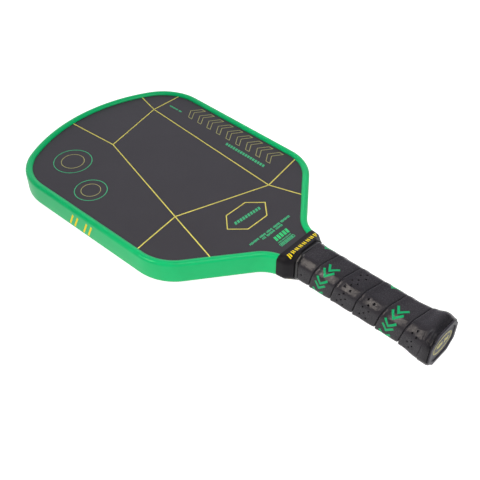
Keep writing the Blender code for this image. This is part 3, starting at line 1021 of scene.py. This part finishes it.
def build_grip_marks():
    """Chevrons printed along every third strip."""
    bm = bmesh.new()
    climb = PITCH / GIRTH
    axes = (Vector((1.0, climb)), Vector((0.0, -1.0)))
    for strip in GRIP_MARK_STRIPS:
        for k in range(GRIP_MARK_COUNT):
            left = GRIP_MARK_START + k * GRIP_MARK_PITCH
            top = FIRST_SEAM - PITCH * strip + climb * left - GRIP_MARK_DROP
            origin = Vector((left, top))
            draw_shape(
                bm, grip_place, "arrows", GRIP_MARK_SIZE, origin, axes, GRIP_MARK_LINE,
                spacing=MARK_SPACING, across=3,
            )
    add_piece("grip_marks", bm, GRIP_INK)


# ------------------------------------------------------- collar, tape and cap

COLLAR_OUTER = [
    (22.7, 10.75, 2.6, 4.2, 136.5),
    (22.9, 11.0, 2.8, 4.3, 135.9),
    (22.6, 11.7, 3.6, 4.4, 132.6),
    (22.0, 12.9, 4.6, 4.4, 129.6),
    (20.8, 14.2, 6.6, 4.4, 127.8),
    (17.8, 15.8, 8.0, 4.2, 124.2),
    (17.4, 15.5, 7.9, 4.0, 123.2),
]
COLLAR_INNER = [
    (22.1, 10.3, 2.4, 3.8, 136.5),
    (21.6, 10.5, 2.4, 3.8, 133.6),
    (21.2, 10.8, 2.6, 3.8, 129.2),
    (17.0, 14.9, 7.4, 3.6, 125.6),
    (16.8, 14.9, 7.45, 3.6, 123.2),
]
COLLAR_SIDES = 96


def collar_sizes(table, station):
    """Sizes of the collar at a station, in metres, between the listed rings."""
    stations = [row[4] for row in reversed(table)]
    return [float(np.interp(station, stations, [row[i] for row in reversed(table)])) * MM for i in range(4)]


def collar_pairs(table, station):
    half_width, half_height, chamfer, rounding = collar_sizes(table, station)
    bevel = (half_width + half_height - chamfer) / math.sqrt(2)
    return octagon([half_width, bevel, half_height, bevel] * 2, rounding, 7)


def collar_ring(table, station):
    return even_ring(collar_pairs(table, station), COLLAR_SIDES)


def collar_place(u, v, lift):
    """Point on the collar: u round it from the middle of its front, v its station."""
    pairs = collar_pairs(COLLAR_OUTER, v / MM)
    total = sum((b[0] - a[0]).length for a, b in zip(pairs, pairs[1:] + pairs[:1]))
    top = top_travel(pairs)
    point, normal = even_ring(pairs, 1, (top - u) % total)[0]
    point = point + normal * lift
    return Vector((point.x, at(v), point.y))


def top_travel(pairs):
    """Length round the ring from its first point to the middle of the front."""
    travel = 0.0
    for (a, _), (b, _) in zip(pairs, pairs[1:]):
        if a.x > 0 >= b.x and a.y > 0:
            return travel + (b - a).length * a.x / (a.x - b.x)
        travel += (b - a).length
    return travel


COLLAR_OUTER_STATIONS = [
    136.5, 136.35, 135.9, 134.9, 133.8, 132.5, 131.2, 129.8,
    128.6, 127.8, 126.8, 125.6, 124.8, 124.2, 123.7, 123.2,
]
COLLAR_INNER_STATIONS = [123.2, 125.6, 129.2, 133.6, 136.5]


def collar_skin(table, stations):
    """Rings of points along the collar, one at each station."""
    return [[Vector((p.x, at(s * MM), p.y)) for p, _ in collar_ring(table, s)] for s in stations]


def build_collar():
    """Moulded ring over the ends of the guard and the tape."""
    outer = collar_skin(COLLAR_OUTER, COLLAR_OUTER_STATIONS)
    inner = collar_skin(COLLAR_INNER, COLLAR_INNER_STATIONS)
    bm = bmesh.new()
    skin_rings(bm, outer + inner, closed=True)
    collar = add_piece("collar_moulding", bm, RUBBER, math.radians(60))
    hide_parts("collar_ring")


COLLAR_MARK_COUNT = 8
COLLAR_MARK_PITCH = 4.5 * MM
COLLAR_MARK_SIZE = (3.6 * MM, 4.4 * MM)
COLLAR_MARK_STATION = 126.8 * MM
COLLAR_MARK_LINE = 0.95 * MM


def build_collar_marks():
    """Yellow slanted bars printed on the collar, front and back."""
    bm = bmesh.new()
    axes = (Vector((1.0, 0.0)), Vector((0.0, 1.0)))
    for side in (1, -1):
        def place(u, v, lift):
            p = collar_place(u, v, lift)
            return Vector((side * p.x, p.y, side * p.z))
        for k in range(COLLAR_MARK_COUNT):
            origin = Vector(((k - 4.0) * COLLAR_MARK_PITCH, COLLAR_MARK_STATION))
            draw_shape(
                bm, place, "slants", COLLAR_MARK_SIZE, origin, axes, COLLAR_MARK_LINE,
                spacing=MARK_SPACING, across=2,
            )
    add_piece("collar_marks", bm, BRIGHT_YELLOW)


# Finishing tape: (station on the handle's centre line, height over the foam).
TAPE_PROFILE = [
    (125.4, 3.2), (124.4, 2.9), (123.0, 2.3), (122.35, 2.2), (122.15, 3.2),
    (120.75, 3.3), (120.6, 3.0), (119.6, 2.6), (119.6, 1.9), (125.4, 1.9),
]
TAPE_LEAN = 1.3 * MM


def build_tape():
    """Finishing tape round the head end of the grip, wound a little out of true."""
    bm = bmesh.new()
    rings = []
    for station, offset in TAPE_PROFILE:
        lean = 0.0 if station > 125.0 else TAPE_LEAN / (16.0 * MM)
        ring = even_ring(octagon(handle_reaches(offset * MM), 2.6 * MM, 7), 96)
        rings.append([Vector((p.x, at(station * MM) - lean * p.x, p.y)) for p, _ in ring])
    skin_rings(bm, rings, closed=True)
    tape = add_piece("finishing_tape_band", bm, TAPE, math.radians(50))
    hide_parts("finishing_tape")


def build_cap():
    """Butt cap with softened rim edges and a recess for the badge."""
    trim = 0.3 * MM
    bm = bmesh.new()
    sleeve = [(26.0, 0.8), (18.0, 1.5), (10.0, 2.6), (1.75, 2.8), (1.5, 2.9), (1.42, 3.2)]
    rings = [octagon(handle_reaches(offset * MM), 2.2 * MM, 7) for _, offset in sleeve]
    loops = [[Vector((p.x, at(s * MM), p.y)) for p, _ in ring] for ring, (s, _) in zip(rings, sleeve)]
    rim = [(1.4, 4.2), (1.25, 4.5), (1.0, 4.6), (0.45, 4.6), (0.2, 4.52), (0.06, 4.35), (0.0, 4.1)]
    for station, offset in rim:
        ring = octagon(handle_reaches(offset * MM, trim), 2.4 * MM, 7)
        loops.append([Vector((p.x, at(station * MM), p.y)) for p, _ in ring])
    recess = [(0.0, 1.75), (0.06, 1.5), (0.25, 1.4), (0.9, 1.25), (1.0, 1.1)]
    for station, offset in recess:
        ring = octagon(handle_reaches(offset * MM), 2.4 * MM, 7)
        loops.append([Vector((p.x, at(station * MM), p.y)) for p, _ in ring])
    inner = [(4.0, 0.3), (26.0, 0.3)]
    inside = []
    for station, offset in inner:
        ring = octagon(handle_reaches(offset * MM), 2.2 * MM, 7)
        inside.append([bm.verts.new((p.x, at(station * MM), p.y)) for p, _ in ring])
    outside = [[bm.verts.new(p) for p in loop] for loop in loops]
    count = len(outside[0])
    chain = inside + outside
    for first, second in zip(chain, chain[1:]):
        for i in range(count):
            j = (i + 1) % count
            bm.faces.new((first[i], first[j], second[j], second[i]))
    bm.faces.new(inside[0])
    bm.faces.new(outside[-1])
    bmesh.ops.recalc_face_normals(bm, faces=bm.faces)
    cap = add_piece("butt_cap_moulding", bm, CAP, math.radians(35))
    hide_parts("butt_cap")


def ellipse(half_width, half_height, steps=64):
    angles = [2 * math.pi * k / steps for k in range(steps)]
    return [Vector((half_width * math.cos(a), half_height * math.sin(a))) for a in angles]


def badge_place(u, v, lift):
    return Vector((u, -lift, v))


BADGE_REACHES = (13.4, 9.9)


def build_badge():
    """Oval badge with a domed edge, two rings and a row of dashes."""
    bm = bmesh.new()
    rings = []
    for depth, shrink in ((0.7, 0.0), (0.25, 0.0), (0.1, 0.06), (0.02, 0.2), (0.0, 0.4)):
        oval = ellipse((BADGE_REACHES[0] - shrink) * MM, (BADGE_REACHES[1] - shrink) * MM)
        rings.append([Vector((p.x, depth * MM, p.y)) for p in oval])
    skin_rings(bm, rings, closed=False)
    badge = add_piece("butt_badge_disc", bm, BADGE)
    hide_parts("butt_badge")
    marks = bmesh.new()
    stroke(marks, ellipse(11.8 * MM, 7.9 * MM), 0.6 * MM, badge_place, closed=True)
    stroke(marks, ellipse(10.6 * MM, 6.8 * MM), 0.25 * MM, badge_place, closed=True)
    dash_row(marks, badge_place, (-7.6, 0.4), (8.0, 0.4), 4.2, 1.9, cover=0.72, skip=(4,))
    add_piece("badge_marks", marks, BADGE_INK)


# ------------------------------------------------------------ light and camera


def aim(thing, position, target, roll=0.0):
    """Place a camera or light and turn it to the target."""
    forward = (Vector(target) - Vector(position)).normalized()
    right = forward.cross(Vector((0, 0, 1))).normalized()
    up = right.cross(forward)
    turned_right = right * math.cos(roll) + up * math.sin(roll)
    turned_up = up * math.cos(roll) - right * math.sin(roll)
    basis = Matrix((turned_right, turned_up, -forward)).transposed().to_4x4()
    thing.matrix_world = Matrix.Translation(Vector(position)) @ basis


def build_camera():
    azimuth = math.radians(-47.27)
    elevation = math.radians(42.85)
    target = Vector((-19.15, 177.16, 0.0)) * MM
    back = Vector((
        math.sin(azimuth) * math.cos(elevation),
        -math.cos(azimuth) * math.cos(elevation),
        math.sin(elevation),
    ))
    data = bpy.data.cameras.new("camera")
    data.sensor_width = 36.0
    data.lens = 55.87
    data.clip_start = 0.01
    camera = bpy.data.objects.new("camera", data)
    bpy.context.scene.collection.objects.link(camera)
    aim(camera, target + back * 603.8 * MM, target, math.radians(0.14))
    bpy.context.scene.camera = camera


def area_light(name, position, target, size, power, colour=(1.0, 1.0, 1.0), spread=180.0):
    data = bpy.data.lights.new(name, "AREA")
    data.shape = "RECTANGLE"
    data.size, data.size_y = size
    data.energy = power
    data.color = colour
    data.spread = math.radians(spread)
    light = bpy.data.objects.new(name, data)
    bpy.context.scene.collection.objects.link(light)
    aim(light, position, target)


# World: dark but for a soft bright region behind the paddle, to the right of the camera's view.
BRIGHT_WAY = (0.55, 0.83, 0.0)
WORLD_STOPS = [(0.30, 0.06), (0.48, 0.60), (0.62, 0.85), (0.72, 0.90), (0.85, 1.20)]
WORLD_TINT = (0.98, 0.96, 1.06)


def build_stage():
    """Pale floor under the collar and the top of the head, bright world, soft lights."""
    scene = bpy.context.scene
    rest_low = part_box("collar_ring")[0]
    tip_low = GUARD_BOX[0]
    collar_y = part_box("collar_ring")[0][1]
    slope = (tip_low[2] - rest_low[2]) / (GUARD_BOX[1][1] - 2 * MM - collar_y)
    bm = bmesh.new()
    reach = 3.0
    middle = 0.25
    low, high = middle - reach, middle + reach
    corners = [(-reach, low), (reach, low), (reach, high), (-reach, high)]
    heights = [rest_low[2] + (y - collar_y) * slope - 0.1 * MM for _, y in corners]
    verts = [bm.verts.new((x, y, z)) for (x, y), z in zip(corners, heights)]
    bm.faces.new(verts)
    mesh = bpy.data.meshes.new("floor")
    bm.to_mesh(mesh)
    bm.free()
    floor = bpy.data.objects.new("floor", mesh)
    scene.collection.objects.link(floor)
    m = Nodes("floor_white")
    set_shader(m.shader, Roughness=0.9)
    m.shader.inputs["Base Color"].default_value = (0.3, 0.3, 0.3, 1.0)
    m.shader.inputs["Emission Color"].default_value = (1.0, 1.0, 1.0, 1.0)
    m.shader.inputs["Emission Strength"].default_value = 1.0
    mesh.materials.append(m.material)
    build_world()
    area_light("key_front", (-0.25, -0.60, 1.55), (0.0, 0.2, 0.0), (1.5, 1.2), 25.0)
    warm = (1.0, 0.90, 0.80)
    area_light("side_left", (-0.60, 0.40, 0.49), (0.0, 0.06, 0.0), (0.20, 0.20), 0.17, warm, 40.0)
    scene.view_settings.view_transform = "Standard"


def build_world():
    """Dark studio with one soft bright side."""
    world = bpy.data.worlds.new("studio")
    world.use_nodes = True
    tree = world.node_tree
    where = tree.nodes.new("ShaderNodeTexCoord")
    toward = tree.nodes.new("ShaderNodeVectorMath")
    toward.operation = "DOT_PRODUCT"
    toward.inputs[1].default_value = BRIGHT_WAY
    ramp = tree.nodes.new("ShaderNodeValToRGB")
    tree.links.new(where.outputs["Generated"], toward.inputs[0])
    tree.links.new(toward.outputs["Value"], ramp.inputs["Fac"])
    stops = ramp.color_ramp.elements
    while len(stops) < len(WORLD_STOPS):
        stops.new(0.5)
    for stop, (height, level) in zip(stops, WORLD_STOPS):
        stop.position = height
        stop.color = (*(level * c for c in WORLD_TINT), 1.0)
    tree.links.new(ramp.outputs["Color"], tree.nodes["Background"].inputs["Color"])
    bpy.context.scene.world = world


dress_nodes()
build_guard()
build_face_marks()
build_edge_marks()
build_grip()
build_grip_marks()
build_tape()
build_collar()
build_collar_marks()
build_cap()
build_badge()
build_camera()
build_stage()
